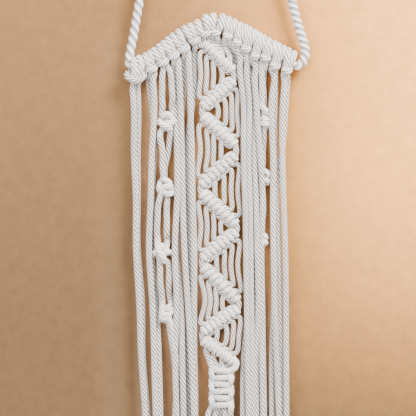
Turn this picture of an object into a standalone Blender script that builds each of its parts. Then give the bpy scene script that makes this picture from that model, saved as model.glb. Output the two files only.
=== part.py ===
"""Macrame wall hanging of white cotton cord, hung by the rope that runs through its header.

Metres, +Z up, the front towards -Y. The origin is the top of the hanging loop. The tables are in
millimetres: x runs to the right, drop runs down from the header's peak, and depth runs to the back.
"""

import math

import bmesh
import bpy
from mathutils import Matrix, Vector

MM = 0.001
GAP = 0.3  # between one piece and the next

# Laid cord. A side cord has six sides, with a corner to the front.
CORD_RADIUS = 2.1
CORD_SIDES = 6
CUT_LEVEL = 320.0  # the trimmed ends
END_DRIFT = 0.5  # how far a cord keeps its last slope down to its end

# Hanging rope: three plies, laid the same way as the cord.
ROPE_PLIES = 3
ROPE_STEPS = 5  # sections in one turn of the lay
ROPE_VALLEY = 0.74  # of the crest's radius
LEFT_ROPE = {"radius": 3.0, "pitch": 16.0}
RIGHT_ROPE = {"radius": 3.3, "pitch": 13.5}
LOOP_ROPE = {"radius": 3.1, "pitch": 15.0, "phase": math.pi / 2}  # a crest lies on the loop's top
LEG_PARTS = 14  # of the straight stretch, so that its curve keeps straight
LOOP_PARTS = 24
LOOP_RADIUS = 9.0  # of the rope's middle, over the nail
MEETING = Vector((-12.5, -226.2))  # where the two legs would cross: x, drop
LEFT_LEG = [(-50.2, -7.8), (-52.6, 5.7), (-54.0, 14.0), (-55.6, 22.3), (-56.6, 27.6)]  # x, drop
RIGHT_LEG = [(48.4, -7.8), (51.6, 4.4), (54.5, 14.0), (56.9, 22.6), (57.3, 28.0), (55.8, 32.4)]

# Header: wraps of the cords' lark's heads on the rope.
HEADER = [  # x, drop, radius over the wraps
    (-54.2, 36.4, 6.0),
    (-50.4, 35.2, 7.2),
    (-45.6, 32.6, 6.1),
    (-40.4, 29.0, 6.0),
    (-34.8, 25.0, 6.0),
    (-29.3, 20.6, 6.1),
    (-23.2, 16.2, 6.2),
    (-17.2, 13.2, 6.0),
    (-11.6, 10.1, 5.7),
    (-6.4, 6.4, 5.8),
    (-1.0, 5.9, 6.0),
    (4.4, 7.2, 6.0),
    (10.2, 10.0, 6.1),
    (16.3, 13.3, 6.2),
    (22.4, 16.5, 6.3),
    (28.4, 20.0, 6.2),
    (34.5, 23.5, 6.2),
    (40.8, 26.8, 6.3),
    (46.6, 29.6, 6.4),
    (51.2, 31.2, 5.7),
]
HEADER_WRAPS = 30
HEADER_SIDES = 10
WRAP_VALLEY = 0.79  # of the crest's radius

# The front loop of each lark's head, under the header: x, drop, tilt in degrees.
LOOPS = [
    (-42.2, 38.0, -30),
    (-34.6, 33.7, -35),
    (-27.6, 29.4, -30),
    (-20.8, 25.2, -30),
    (-13.7, 19.6, -35),
    (-7.2, 15.0, -20),
    (-1.2, 14.2, 5),
    (6.9, 16.4, 15),
    (12.7, 20.7, 25),
    (18.4, 24.8, 10),
    (24.3, 29.4, 15),
    (31.2, 30.8, 35),
    (37.2, 36.0, 5),
    (45.0, 38.8, 15),
]
LOOP_CORD = 2.2
FRONT_LOOP = [  # across the loop, depth: it bends back at both ends
    (-3.5, -1.2),
    (-2.8, -4.8),
    (0.0, -5.4),
    (2.8, -4.8),
    (3.5, -1.2),
]
LOOSE_LOOP = [  # x, drop, depth: the slack front loop at the left end
    (-55.6, 36.5, -4.0),
    (-58.4, 40.6, -5.6),
    (-57.6, 42.8, -5.4),
    (-54.0, 44.6, -5.2),
    (-49.8, 43.6, -5.2),
    (-47.4, 40.6, -4.8),
    (-47.8, 37.0, -3.0),
]
ROPE_ENDS = [  # x, drop: the rope's way from each leg into the header
    [(-56.7, 27.95), (-57.4, 31.5), (-57.2, 35.4), (-54.0, 37.6)],
    [(55.65, 32.75), (54.2, 34.8), (51.6, 35.2), (48.6, 33.6)],
]
ROPE_END_RADIUS = 2.8

# Side cords, from the header down: depth, where each leaves the header, then x at each level.
FRONT, BACK, REAR = -2.3, 2.2, 6.6
ROOT_BELOW = 1.0  # the header's middle
LEVEL_STEP = 60.0  # more than one row to the next, so a cord runs straight between its rows
LEVELS = (50.0, 90.0, 122.0, 155.0, 187.0, 220.0, 260.0)
SIDE_CORDS = [  # name, depth, leaving x, leaving drop, x at LEVELS
    ("left_1", FRONT, -54.8, 40.4, (-55.1, -54.3, -52.6, -52.1, -50.4, -49.7, -47.3)),
    ("left_2", BACK, -51.2, 39.5, (-51.8, -51.4, -51.4, -50.6, -49.1, -48.4, -45.5)),
    ("left_3", BACK, -44.4, 38.0, (-44.0, -41.3, -42.0, -41.9, -40.0, -38.4, -36.7)),
    ("left_4", FRONT, -41.0, 36.0, (-40.2, -42.3, -42.9, -43.9, -42.1, -40.9, -39.6)),
    ("left_7", BACK, -28.3, 29.0, (-27.1, -26.5, -26.3, -26.6, -26.1, -25.4, -24.0)),
    ("left_8", FRONT, -25.0, 27.0, (-23.5, -23.5, -22.1, -22.4, -23.0, -22.0, -21.6)),
    ("left_9", BACK, -22.0, 25.5, (-22.2, -22.4, -20.0, -20.5, -18.7, -17.8, -18.1)),
    ("left_10", FRONT, -18.4, 22.8, (-17.6, -17.1, -16.1, -15.6, -15.2, -15.2, -14.9)),
    ("left_11", BACK, -14.6, 19.2, (-14.5, -15.7, -16.0, -16.1, -16.4, -14.0, -14.0)),
    ("right_1", REAR, 6.2, 16.2, (17.6, 19.2, 19.6, 20.0, 20.3, 17.6, 16.8)),
    ("right_2", REAR, 10.2, 17.6, (21.6, 23.2, 23.6, 24.0, 24.3, 21.8, 21.0)),
    ("right_3", FRONT, 14.4, 21.4, (17.4, 18.0, 18.2, 18.8, 19.9, 20.0, 20.5)),
    ("right_4", BACK, 13.2, 21.5, (21.7, 23.0, 23.4, 23.9, 24.2, 22.4, 21.6)),
    ("right_5", FRONT, 18.6, 25.0, (20.9, 21.7, 21.9, 22.5, 23.6, 23.7, 24.2)),
    ("right_6", BACK, 19.8, 26.0, (25.6, 26.8, 27.2, 27.7, 28.0, 26.4, 25.6)),
    ("right_7", FRONT, 24.4, 29.0, (24.7, 25.4, 25.7, 26.4, 27.3, 27.4, 27.9)),
    ("right_8", FRONT, 30.8, 31.0, (28.6, 29.1, 29.5, 30.2, 31.0, 31.1, 31.6)),
    ("right_9", FRONT, 36.8, 35.5, (36.1, 36.9, 37.1, 36.8, 37.7, 39.0, 40.0)),
    ("right_10", BACK, 38.0, 36.0, (36.6, 38.0, 38.9, 40.3, 40.7, 41.0, 41.0)),
    ("right_11", FRONT, 43.6, 38.5, (41.6, 42.4, 43.3, 44.1, 44.7, 45.1, 45.2)),
    ("right_12", BACK, 46.0, 39.0, (44.7, 42.9, 43.6, 44.5, 44.9, 45.2, 45.4)),
]

# Pairs of side cords that are tied to each other: drop, x of one, x of the other.
LEFT_PAIR_DEPTHS = (FRONT, BACK)
LEFT_PAIR = [
    (33.0, -35.6, -33.0),
    (49.4, -35.4, -30.9),
    (71.5, -34.2, -31.4),
    (83.2, -36.4, -30.9),
    (109.2, -34.5, -32.0),
    (122.2, -38.5, -33.0),
    (148.2, -38.9, -33.2),
    (156.7, -37.0, -34.4),
    (180.7, -36.3, -31.4),
    (196.3, -34.2, -31.4),
    (219.7, -29.6, -31.8),
    (260.0, -26.8, -30.6),
]
RIGHT_PAIR_DEPTHS = (REAR, BACK)
RIGHT_PAIR = [
    (31.0, 29.8, 32.4),
    (50.7, 30.2, 31.6),
    (70.9, 30.0, 32.2),
    (89.7, 30.4, 31.8),
    (107.9, 31.2, 33.2),
    (125.5, 30.6, 32.2),
    (147.6, 31.0, 32.8),
    (164.5, 30.6, 32.4),
    (206.7, 31.6, 34.8),
    (260.0, 32.2, 35.4),
]

# Overhand knots in the pairs, each a ball with three ridges.
KNOTS = [  # x, drop, depth, half width, half height, tilt in degrees
    (-32.8, 71.5, -1.4, 4.9, 5.4, 20),
    (-33.0, 115.2, -1.4, 5.4, 4.8, -5),
    (-35.6, 156.7, -1.4, 5.0, 5.2, 55),
    (-32.8, 196.5, -1.4, 5.2, 5.6, -25),
    (31.4, 70.9, 2.6, 3.4, 4.2, 15),
    (32.5, 107.9, 2.6, 3.4, 4.2, -20),
    (32.2, 148.0, 2.6, 3.4, 4.2, 30),
]
KNOT_SIDES = 8
KNOT_FLATNESS = 0.85  # depth against width
KNOT_RINGS = [  # share of the half height, share of the half width
    (-1.0, 0.42),
    (-0.66, 0.92),
    (-0.34, 0.8),
    (0.0, 1.0),
    (0.34, 0.8),
    (0.66, 0.92),
    (1.0, 0.42),
]

# Zigzag: bars of double half hitches, each tied on the leading cord.
BARS = [  # x, drop of the left or upper end, x, drop of the lower end
    (-8.1, 20.6, 9.9, 37.6),
    (10.4, 45.2, -8.8, 61.1),
    (-8.8, 68.2, 11.4, 85.8),
    (11.7, 93.9, -9.9, 112.1),
    (-9.7, 118.3, 12.0, 137.6),
    (12.0, 143.5, -9.1, 159.9),
    (-8.8, 166.4, 13.2, 187.0),
    (13.2, 193.3, -8.8, 207.7),
    (-8.6, 213.8, 10.4, 226.8),
]
BAR_WRAPS = 8
BAR_SIDES = 8
BAR_RADIUS = 4.2
BAR_OVERRUN = 1.6  # of the wraps past each end in the table
BAR_DEPTH = -0.6
BAR_CORDS = 4
CORD_PLACES = tuple((i + 0.5) / BAR_CORDS for i in range(BAR_CORDS))
AFTER_LEFT_TURN = (0.3, 0.52, 0.72, 0.92)  # where the cords sit along two bars that meet on the left
AFTER_RIGHT_TURN = (0.08, 0.28, 0.48, 0.7)
EXIT = (1.6, 2.1)  # how far aside and below a bar's middle its cords come out
BETWEEN_BARS = [  # x of each cord midway between a bar and the next, from the left
    (-10.6, -6.6, -2.2, 3.4),
    (0.8, 5.7, 9.5, 13.0),
    (-10.8, -5.9, -2.1, 2.6),
    (-1.4, 4.5, 9.1, 13.5),
    (-10.4, -6.3, -2.0, 2.3),
    (-0.3, 4.7, 9.0, 13.5),
    (-9.6, -4.2, 0.0, 4.4),
    (0.0, 6.4, 10.4, 14.3),
]
ZIGZAG_MIDDLE = 2.0  # x
BAR_TURN = 2.2  # how far the leading cord swings out where it turns back
TURN_RADIUS = 2.6

# Cords from behind the header's front loops into the first bar.
FEED_TOPS = (-7.0, -4.6, -1.0, 2.6)  # x
FEED_ROUTE = [(7.8, 3.3), (11.0, 1.6)]  # drop from the header's middle, depth

# Square-knot braid under the zigzag and the cords that hang from it.
BRAID_TOP, BRAID_BOTTOM = (3.4, 229.6), (2.2, 256.6)  # x, drop
BRAID_WIDTH, BRAID_DEPTH = 9.3, 4.5
BRAID_KNOTS = 6
BRAID_SIDES = 12
BRAID_VALLEY = 0.8
BRAID_INSIDE = 3.0  # how far the cords run on inside the braid's ends
TAIL_BEND = 14.0  # below the braid
TAILS = [  # x in the braid, x at the cut level, depth
    (-3.4, -6.4, -1.2),
    (-0.2, -1.2, -1.6),
    (3.0, 3.4, 1.8),
    (4.0, 7.2, -1.8),
    (7.6, 11.2, -0.6),
]


def hanging_loop():
    """The loop's centre and the points where the two straight legs touch it, as x and drop."""
    left = (Vector(LEFT_LEG[0]) - MEETING).normalized()
    right = (Vector(RIGHT_LEG[0]) - MEETING).normalized()
    half = left.angle(right) / 2
    centre = MEETING + (left + right).normalized() * LOOP_RADIUS / math.sin(half)
    reach = LOOP_RADIUS / math.tan(half)
    return centre, MEETING + left * reach, MEETING + right * reach


LOOP_CENTRE, LEFT_TOUCH, RIGHT_TOUCH = hanging_loop()
TOP_DROP = LOOP_CENTRE.y - LOOP_RADIUS - LOOP_ROPE["radius"]


def place(x, drop, depth=0.0):
    """A table's point in the part's own frame, in metres."""
    return Vector((x - LOOP_CENTRE.x, depth, TOP_DROP - drop)) * MM


def curve_through(points, spacing):
    """Points about `spacing` apart on a smooth curve through `points`."""
    ends = [2 * points[0] - points[1], *points, 2 * points[-1] - points[-2]]
    path = []
    for a, b, c, d in zip(ends, ends[1:], ends[2:], ends[3:]):
        steps = max(1, round((c - b).length / spacing))
        for i in range(steps):
            t = i / steps
            bend = (2 * a - 5 * b + 4 * c - d) * t * t + (3 * b - a - 3 * c + d) * t**3
            path.append(b + ((c - a) * t + bend) / 2)
    path.append(points[-1])
    return path


def evenly(path, count):
    """`count` + 1 points spaced evenly along a path."""
    lengths = [0.0]
    for a, b in zip(path, path[1:]):
        lengths.append(lengths[-1] + (b - a).length)
    spaced, leg = [], 0
    for i in range(count + 1):
        wanted = lengths[-1] * i / count
        while leg < len(path) - 2 and lengths[leg + 1] < wanted:
            leg += 1
        share = (wanted - lengths[leg]) / (lengths[leg + 1] - lengths[leg])
        spaced.append(path[leg].lerp(path[leg + 1], min(share, 1.0)))
    return spaced


def length_of(path):
    return sum((b - a).length for a, b in zip(path, path[1:]))


def slope(a, b):
    return (b - a).normalized()


def end_direction(end, second, third):
    """The way away from a path's end, bent back as much as the path bends over its first stretch."""
    near, far = (second - end).length, (third - second).length
    bend = slope(second, third) - slope(end, second)
    return (slope(end, second) - bend * near / (near + far)).normalized()


def direction(path, i):
    """The way along a path at point i."""
    last = len(path) - 1
    if last > 1 and i == 0:
        return end_direction(path[0], path[1], path[2])
    if last > 1 and i == last:
        return -end_direction(path[last], path[last - 1], path[last - 2])
    return slope(path[max(i - 1, 0)], path[min(i + 1, last)])


def frames(path, front):
    """For each point two directions across the path, which turn no more than they must."""
    found = []
    for i, point in enumerate(path):
        along = direction(path, i)
        front = (front - along * front.dot(along)).normalized()
        found.append((point, front, along.cross(front)))
    return found


def mesh_object(name, rings):
    """A closed tube: rings of points, each joined to the next, with a face on each end."""
    bm = bmesh.new()
    made = [[bm.verts.new(point) for point in ring] for ring in rings]
    for ring, following in zip(made, made[1:]):
        for i, vert in enumerate(ring):
            j = (i + 1) % len(ring)
            bm.faces.new((vert, ring[j], following[j], following[i]))
    bm.faces.new(reversed(made[0]))
    bm.faces.new(made[-1])
    bmesh.ops.recalc_face_normals(bm, faces=bm.faces)
    mesh = bpy.data.meshes.new(name)
    bm.to_mesh(mesh)
    bm.free()
    mesh.shade_smooth()
    obj = bpy.data.objects.new(name, mesh)
    bpy.context.scene.collection.objects.link(obj)
    return obj


def cord(name, points, spacing=14.0, radius=CORD_RADIUS, front=(0, -1, 0)):
    """A plain cord of six sides on a smooth route through `points`."""
    path = curve_through(points, spacing * MM)
    rings = []
    for point, forward, side in frames(path, Vector(front)):
        ring = []
        for i in range(CORD_SIDES):
            angle = 2 * math.pi * i / CORD_SIDES
            ring.append(point + (forward * math.cos(angle) + side * math.sin(angle)) * radius * MM)
        rings.append(ring)
    return mesh_object(name, rings)


def laid_rope(name, path, radius, pitch, phase=0.0):
    """A rope of three plies, whose crests wind round it once in every pitch."""
    steps = round(length_of(path) / (pitch * MM) * ROPE_STEPS)
    rings = []
    for k, (point, forward, side) in enumerate(frames(evenly(path, steps), Vector((0, -1, 0)))):
        ring = []
        for i in range(2 * ROPE_PLIES):
            angle = phase + math.pi * i / ROPE_PLIES - 2 * math.pi * k / ROPE_STEPS
            size = radius * MM * (1.0 if i % 2 == 0 else ROPE_VALLEY)
            ring.append(point + (forward * math.cos(angle) + side * math.sin(angle)) * size)
        rings.append(ring)
    return mesh_object(name, rings)


def ridged(name, path, wraps, sides, radius, stretch=1.0, valley=WRAP_VALLEY):
    """A body of cord wraps side by side. `radius` gives the crest's radius at a share of its length."""
    rings = []
    steps = 2 * wraps
    for k, (point, forward, side) in enumerate(frames(evenly(path, steps), Vector((0, -1, 0)))):
        size = radius(k / steps) * MM * (1.0 if k % 2 else valley)
        if k in (0, steps):
            size *= valley
        ring = []
        for i in range(sides):
            angle = 2 * math.pi * (i + 0.5) / sides
            ring.append(
                point + forward * math.cos(angle) * size + side * math.sin(angle) * size * stretch
            )
        rings.append(ring)
    return mesh_object(name, rings)


def fuse(name, shapes, material):
    """One solid of overlapping shapes, which take its name and material from here."""
    base, *others = shapes
    base.name = name
    base.data.materials.append(material)
    helpers = bpy.data.collections.new(name + "_shapes")
    bpy.context.scene.collection.children.link(helpers)
    for other in others:
        bpy.context.scene.collection.objects.unlink(other)
        helpers.objects.link(other)
        other.hide_render = True
        other.display_type = "WIRE"
    union = base.modifiers.new("Fuse", "BOOLEAN")
    union.operation = "UNION"
    union.operand_type = "COLLECTION"
    union.collection = helpers
    return base


def cotton():
    material = bpy.data.materials.new("white cotton cord")
    material.use_nodes = True
    shader = material.node_tree.nodes["Principled BSDF"]
    shader.inputs["Base Color"].default_value = (0.83, 0.81, 0.78, 1.0)
    shader.inputs["Roughness"].default_value = 0.9
    shader.inputs["Metallic"].default_value = 0.0
    return material


def leg_path(touch, leg):
    """A leg from the loop down: straight to the first row of its table, then through the rows."""
    foot = Vector(leg[0])
    straight = [place(*touch.lerp(foot, i / LEG_PARTS)) for i in range(LEG_PARTS)]
    return curve_through(straight + [place(*point) for point in leg], 2.0 * MM)


def shortened(path, by):
    """The path with `by` millimetres taken off its start."""
    towards = (path[1] - path[0]).normalized()
    return [path[0] + towards * by * MM, *path[1:]]


def angle_at_loop(touch):
    """The angle of a point on the loop seen from its centre, from +X towards +Z."""
    spoke = touch - LOOP_CENTRE
    return math.atan2(-spoke.y, spoke.x) % (2 * math.pi)


def make_hanger(material):
    """The rope that carries the hanging: the loop over the nail and its two straight legs."""
    start = angle_at_loop(LEFT_TOUCH)
    end = angle_at_loop(RIGHT_TOUCH)
    arc = []
    for i in range(LOOP_PARTS + 1):
        angle = start + (end - start) * i / LOOP_PARTS
        spoke = Vector((math.cos(angle), -math.sin(angle))) * LOOP_RADIUS
        arc.append(place(*(LOOP_CENTRE + spoke)))
    top = laid_rope("hanger_top", arc, **LOOP_ROPE)
    left = laid_rope("hanger_left", shortened(leg_path(LEFT_TOUCH, LEFT_LEG), GAP), **LEFT_ROPE)
    right = laid_rope("hanger_right", shortened(leg_path(RIGHT_TOUCH, RIGHT_LEG), GAP), **RIGHT_ROPE)
    for piece in (top, left, right):
        piece.data.materials.append(material)


def header_radius(share):
    """The wraps' radius at a share of the header's length, between the rows of its table."""
    place_in_table = share * (len(HEADER) - 1)
    row = min(int(place_in_table), len(HEADER) - 2)
    part = place_in_table - row
    return HEADER[row][2] * (1 - part) + HEADER[row + 1][2] * part


def header_bar():
    path = curve_through([place(x, drop) for x, drop, _ in HEADER], 1.0 * MM)
    return ridged("header", path, HEADER_WRAPS, HEADER_SIDES, header_radius)


def front_loop(row):
    """The loop of a lark's head: it lies across the front and turns back round its own two cords."""
    x, drop, tilt = row
    over, down = math.cos(math.radians(tilt)), math.sin(math.radians(tilt))
    points = [place(x + across * over, drop + across * down, depth) for across, depth in FRONT_LOOP]
    return cord("front_loop", points, radius=LOOP_CORD, front=(0, 0, 1))


def header_point(x):
    """The drop of the header's middle at x."""
    for (x0, drop0, _), (x1, drop1, _) in zip(HEADER, HEADER[1:]):
        if x <= x1:
            share = max(0.0, (x - x0) / (x1 - x0))
            return drop0 + (drop1 - drop0) * share
    return HEADER[-1][1]


def root(x, depth):
    """Where a cord starts inside the header."""
    return place(x, header_point(x) + ROOT_BELOW, depth / 2)


def side_cord(row):
    """A cord that hangs freely from the header to the cut level."""
    name, depth, leave_x, leave_drop, across = row
    points = [root(leave_x, depth), place(leave_x, leave_drop, depth)]
    points += [place(x, level, depth) for x, level in zip(across, LEVELS)]
    drift = (across[-1] - across[-2]) * END_DRIFT
    points.append(place(across[-1] + drift, CUT_LEVEL, depth))
    return cord(name, points, spacing=LEVEL_STEP)


def tied_cord(name, rows, which, depth):
    """One cord of a tied pair, of which it is the first or the second."""
    points = [root(rows[0][which], depth)]
    points += [place(row[which], row[0], depth) for row in rows]
    points.append(place(rows[-1][which], CUT_LEVEL, depth))
    return cord(name, points, spacing=LEVEL_STEP)


def knot(row):
    """A small overhand knot: a ball with three ridges, turned in the hanging's plane."""
    x, drop, depth, half_width, half_height, tilt = row
    centre = place(x, drop, depth)
    turn = Matrix.Rotation(math.radians(tilt), 3, "Y")
    rings = []
    for height, width in KNOT_RINGS:
        ring = []
        for i in range(KNOT_SIDES):
            angle = 2 * math.pi * i / KNOT_SIDES
            across = half_width * width * math.cos(angle)
            back = half_width * width * math.sin(angle) * KNOT_FLATNESS
            ring.append(centre + turn @ Vector((across, back, half_height * height)) * MM)
        rings.append(ring)
    return mesh_object("knot", rings)


def make_header_and_cords(material):
    shapes = [header_bar()]
    shapes += [front_loop(row) for row in LOOPS]
    loose = [place(*point) for point in LOOSE_LOOP]
    shapes.append(cord("loose_loop", loose, spacing=3.0, radius=LOOP_CORD, front=(0, 0, 1)))
    for route in ROPE_ENDS:
        points = [place(*point) for point in route]
        shapes.append(cord("rope_end", points, spacing=3.0, radius=ROPE_END_RADIUS))
    shapes += [side_cord(row) for row in SIDE_CORDS]
    for side, rows, depths in (
        ("left", LEFT_PAIR, LEFT_PAIR_DEPTHS),
        ("right", RIGHT_PAIR, RIGHT_PAIR_DEPTHS),
    ):
        for which, depth in enumerate(depths, start=1):
            shapes.append(tied_cord(f"{side}_pair_{which}", rows, which, depth))
    shapes += [knot(row) for row in KNOTS]
    return fuse("header_and_cords", shapes, material)


def bar_ends(bar):
    x0, drop0, x1, drop1 = bar
    return place(x0, drop0, BAR_DEPTH), place(x1, drop1, BAR_DEPTH)


def on_bar(bar, share):
    """The point on a bar's middle at a share of its width, from its left end."""
    first, second = bar_ends(bar)
    left, right = (first, second) if first.x < second.x else (second, first)
    return left.lerp(right, share)


def bar_body(bar):
    first, second = bar_ends(bar)
    outward = slope(first, second) * BAR_OVERRUN * MM
    path = [first - outward, second + outward]
    return ridged("bar", path, BAR_WRAPS, BAR_SIDES, lambda share: BAR_RADIUS)


def leader_turn(index):
    """The leading cord's turn from a bar's lower end into the next bar."""
    end = bar_ends(BARS[index])[1]
    start = bar_ends(BARS[index + 1])[0]
    outward = Vector((math.copysign(BAR_TURN * MM, end.x - place(ZIGZAG_MIDDLE, 0.0).x), 0, 0))
    middle = (end + start) / 2 + outward
    return cord("turn", [end, middle, start], spacing=3.0, radius=TURN_RADIUS)


def cords_between(index):
    upper, lower = BARS[index], BARS[index + 1]
    turns_right = upper[2] > upper[0]
    made = []
    for share, x in zip(AFTER_RIGHT_TURN if turns_right else AFTER_LEFT_TURN, BETWEEN_BARS[index]):
        aside = Vector((-EXIT[0] if turns_right else EXIT[0], 0, 0)) * MM
        below = Vector((0, 0, -EXIT[1])) * MM
        top, bottom = on_bar(upper, share) + aside + below, on_bar(lower, share) + aside - below
        middle = (top + bottom) / 2
        middle.x = place(x, 0.0).x
        made.append(cord("between", [top, middle, bottom], spacing=5.0))
    return made


def feeds():
    """The cords that come down from the header into the first bar."""
    made = []
    for share, x in zip(CORD_PLACES, FEED_TOPS):
        route = [place(x, header_point(x) + below, depth) for below, depth in FEED_ROUTE]
        made.append(cord("feed", [*route, on_bar(BARS[0], share)], spacing=LEVEL_STEP))
    return made


def braid():
    path = [place(*BRAID_TOP, BAR_DEPTH), place(*BRAID_BOTTOM, BAR_DEPTH)]
    flat = {"stretch": BRAID_WIDTH / BRAID_DEPTH, "valley": BRAID_VALLEY}
    return ridged("braid", path, BRAID_KNOTS, BRAID_SIDES, lambda share: BRAID_DEPTH, **flat)


def braid_cords():
    """From the last bar into the braid, and from the braid down to the cut ends."""
    made = []
    for share, (x, end_x, depth) in zip((*CORD_PLACES, 1.0), TAILS):
        into = [on_bar(BARS[-1], share), place(x, BRAID_TOP[1] + BRAID_INSIDE, BAR_DEPTH)]
        out = [
            place(x, BRAID_BOTTOM[1] - BRAID_INSIDE, depth),
            place((x + end_x) / 2, BRAID_BOTTOM[1] + TAIL_BEND, depth),
            place(end_x, CUT_LEVEL, depth),
        ]
        made.append(cord("into_braid", into, spacing=LEVEL_STEP))
        made.append(cord("tail", out, spacing=LEVEL_STEP))
    return made


def make_zigzag(material):
    shapes = [bar_body(bar) for bar in BARS]
    for index in range(len(BARS) - 1):
        shapes.append(leader_turn(index))
        shapes += cords_between(index)
    shapes += feeds()
    shapes.append(braid())
    shapes += braid_cords()
    return fuse("zigzag_panel", shapes, material)


def main():
    for obj in list(bpy.data.objects):
        bpy.data.objects.remove(obj)
    material = cotton()
    make_hanger(material)
    make_header_and_cords(material)
    make_zigzag(material)


main()
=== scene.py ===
"""The visual model of the macrame wall hanging: every cord is laid and knotted along its real route.

The tables are in millimetres: x runs to the right, drop runs down from the header's peak, and depth
runs to the back. A row of a cord's route is x, drop, depth and, where they aren't the usual ones, the
cord's radius and the relief of its plies: 1 where they stand out in full, less where they are pulled
tight. The rope's rows have the length of a turn of the lay before the relief.
"""

import math

import bpy
import numpy as np
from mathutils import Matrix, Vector


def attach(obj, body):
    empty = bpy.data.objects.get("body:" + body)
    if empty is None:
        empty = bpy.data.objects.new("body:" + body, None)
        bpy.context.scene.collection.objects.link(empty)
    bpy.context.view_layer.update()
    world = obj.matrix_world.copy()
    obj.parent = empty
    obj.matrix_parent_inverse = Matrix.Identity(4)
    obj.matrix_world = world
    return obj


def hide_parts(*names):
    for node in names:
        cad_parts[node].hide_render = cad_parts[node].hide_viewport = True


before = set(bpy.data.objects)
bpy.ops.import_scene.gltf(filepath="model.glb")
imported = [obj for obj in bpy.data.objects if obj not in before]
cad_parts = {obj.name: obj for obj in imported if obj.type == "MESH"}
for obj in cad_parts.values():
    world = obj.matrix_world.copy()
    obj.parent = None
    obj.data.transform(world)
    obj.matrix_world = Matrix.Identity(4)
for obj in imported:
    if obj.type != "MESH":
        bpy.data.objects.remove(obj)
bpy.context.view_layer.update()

MM = 0.001
RANDOM = np.random.default_rng(11)
HOOK = (-10.431, -197.374)  # x and drop of the part's origin, the top of the hanging loop

# ---- cord and rope ----
CORD_RADIUS = 1.95
CORD_PITCH = 15.8  # the length of a turn of the lay
PITCH_SPREAD = (0.95, 1.06)  # from cord to cord
CORD_LAY = {"plies": 5, "fullness": 0.39}  # fullness is a ply's own radius against the cord's
ROPE_LAY = {"plies": 2, "fullness": 0.74}
CORD_YARNS, ROPE_YARNS = 4, 9  # that show across a ply
PLY_POINTS = {5: 5, 2: 9}  # points across a ply, by the number of plies
TIGHTNESS_LEVELS = 8  # steps in which the relief of the plies is told to the material, which pales its painted valley shade by them
SPLINE_STEP = 0.15
LONGEST_STEP = 1.35  # from one section to the next
BEND_STEPS = 1.3  # more sections for each radian of bend
STRIP_MARGIN = 0.06  # of a strip's height in the baked layout

# ---- tables, close to those of the solid model ----
LOOP_RADIUS = 9.0  # of the rope's middle over the hook
MEETING = (-12.5, -226.2)  # x and drop where the two legs would meet
LEFT_ROPE = (3.1, 10.8)  # radius, length of a turn
LOOP_ROPE = (3.1, 10.0)
RIGHT_ROPE = (3.3, 9.0)
INNER_ROPE = (2.0, 15.0)  # inside the header
LOW_LEFT_RADIUS = 3.0
LEG_STEPS, LOOP_STEPS = 10, 12
ROPE_RELIEF = 0.85
LEFT_ENTRY = [(-51.5, 37.4, 0.4, 2.4), (-54.6, 36.9, 0.2, 2.6), (-57.0, 33.6, 0.0, 2.8)]
LEFT_ENTRY_TURN = 10.4
RIGHT_ENTRY = [(53.2, 35.0, 0.0, 3.0), (50.0, 34.2, 0.0, 2.6)]
LEFT_LEG = [(-50.2, -7.8), (-52.6, 5.7), (-54.0, 14.0), (-55.6, 22.3), (-56.6, 27.6)]
RIGHT_LEG = [(48.4, -7.8), (51.6, 4.4), (54.5, 14.0), (56.9, 22.6), (57.3, 28.0), (55.8, 32.4)]
HEADER = [  # x, drop, radius over the wraps
    (-54.2, 36.4, 6.0),
    (-50.4, 35.2, 7.2),
    (-45.6, 32.6, 6.1),
    (-40.4, 29.0, 6.0),
    (-34.8, 25.0, 6.0),
    (-29.3, 20.6, 6.1),
    (-23.2, 16.2, 6.2),
    (-17.2, 13.2, 6.0),
    (-11.6, 10.1, 5.7),
    (-6.4, 6.4, 5.8),
    (-1.0, 5.9, 6.0),
    (4.4, 7.2, 6.0),
    (10.2, 10.0, 6.1),
    (16.3, 13.3, 6.2),
    (22.4, 16.5, 6.3),
    (28.4, 20.0, 6.2),
    (34.5, 23.5, 6.2),
    (40.8, 26.8, 6.3),
    (46.6, 29.6, 6.4),
    (51.2, 31.2, 5.7),
]
CUT_LEVEL = 320.0
CUT_SPREAD = 1.5  # how much shorter a cord may be cut
LEVELS = (50.0, 90.0, 122.0, 155.0, 187.0, 220.0, 260.0)
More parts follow.
